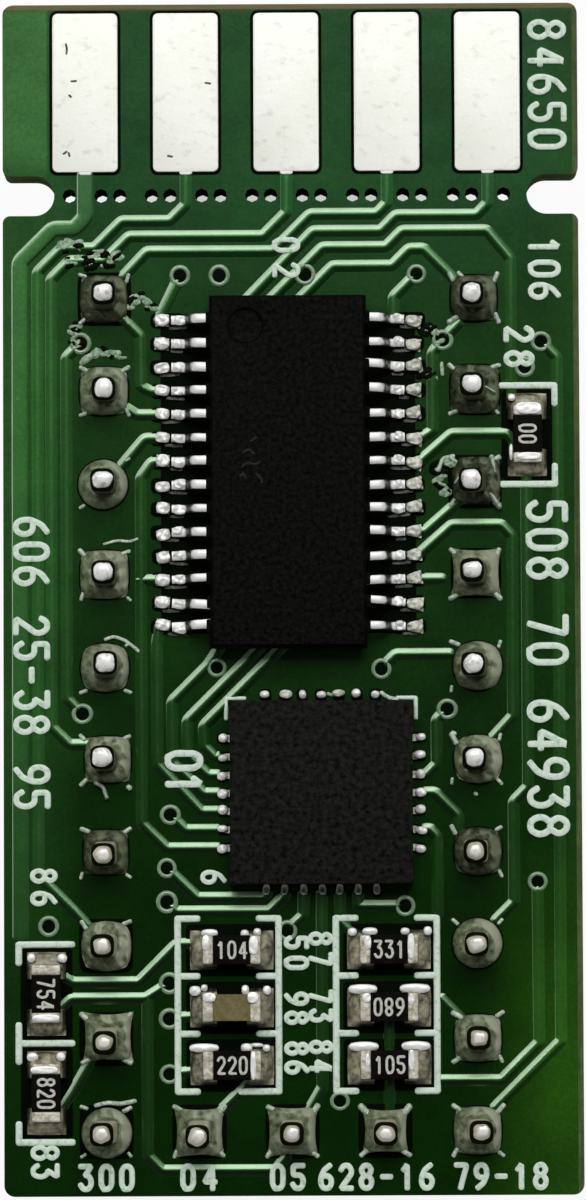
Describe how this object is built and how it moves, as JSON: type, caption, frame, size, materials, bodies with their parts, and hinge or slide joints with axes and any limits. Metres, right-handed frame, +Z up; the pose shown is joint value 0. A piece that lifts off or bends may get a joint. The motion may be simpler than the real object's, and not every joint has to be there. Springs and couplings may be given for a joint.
{
  "type": "interface converter module",
  "caption": "Small green circuit board on header pins, with edge contacts for a connector, a driver chip, a bridge chip, small chip parts and notched break line",
  "frame": {"origin": "centre of the footprint, at the ends of the header pins", "axes": "+Y along the board towards the edge contacts, +Z up out of the populated face, +X to its right"},
  "size_m": [0.0158, 0.0328, 0.0115],
  "materials": {
    "solder_mask": "dark green solder mask on glass laminate, brown at cut edges",
    "masked_copper": "copper under green solder mask",
    "tinned_land": "bright levelled tin, lightly scratched",
    "legend_ink": "pale printed ink",
    "chip_mould": "black moulding compound, fine grain",
    "bridge_mould": "dark grey-brown moulding compound, fine grain",
    "tinned_lead": "tin-plated lead",
    "solder": "dull grey solder with bright edges",
    "resistor_coat": "black glassy coat on ceramic",
    "capacitor_ceramic": "tan ceramic",
    "end_cap": "tinned end cap",
    "header_moulding": "black glass-filled moulding",
    "pin_metal": "tin-plated brass pin"
  },
  "bodies": {
    "root": {"back_capacitor_1": "capacitor_ceramic", "back_capacitor_2": "capacitor_ceramic", "back_capacitor_3": "capacitor_ceramic", "back_capacitor_4": "capacitor_ceramic", "back_capacitor_5": "capacitor_ceramic", "back_capacitor_end_caps": "end_cap", "back_chip_solder": "solder", "back_contact_pad_6": "tinned_land", "back_contact_pad_7": "tinned_land", "back_contact_pad_8": "tinned_land", "back_contact_pad_9": "tinned_land", "back_tracks": "masked_copper", "bridge_chip_body": "bridge_mould", "bridge_chip_solder": "solder", "bridge_chip_terminals": "tinned_lead", "bridge_chip_thermal_pad": "tinned_lead", "capacitor_1": "capacitor_ceramic", "capacitor_1_end_caps": "end_cap", "circuit_board": "solder_mask", "contact_pad_1": "tinned_land", "contact_pad_2": "tinned_land", "contact_pad_3": "tinned_land", "contact_pad_4": "tinned_land", "contact_pad_5": "tinned_land", "driver_chip_body": "chip_mould", "driver_chip_left_leads": "tinned_lead", "driver_chip_right_leads": "tinned_lead", "driver_chip_solder": "solder", "front_chip_solder": "solder", "front_tracks": "masked_copper", "left_header_pins": "pin_metal", "left_header_strip": "header_moulding", "left_pin_solder": "solder", "legend_print": "legend_ink", "middle_header_pins": "pin_metal", "middle_header_strip": "header_moulding", "middle_pin_solder": "solder", "resistor_1": "resistor_coat", "resistor_1_end_caps": "end_cap", "resistor_2": "resistor_coat", "resistor_2_end_caps": "end_cap", "resistor_3": "resistor_coat", "resistor_3_end_caps": "end_cap", "resistor_4": "resistor_coat", "resistor_4_end_caps": "end_cap", "resistor_5": "resistor_coat", "resistor_5_end_caps": "end_cap", "resistor_6": "resistor_coat", "resistor_6_end_caps": "end_cap", "resistor_7": "resistor_coat", "resistor_7_end_caps": "end_cap", "resistor_8": "resistor_coat", "resistor_8_end_caps": "end_cap", "right_header_pins": "pin_metal", "right_header_strip": "header_moulding", "right_pin_solder": "solder", "via_lands": "tinned_land"}
  },
  "joints": []
}
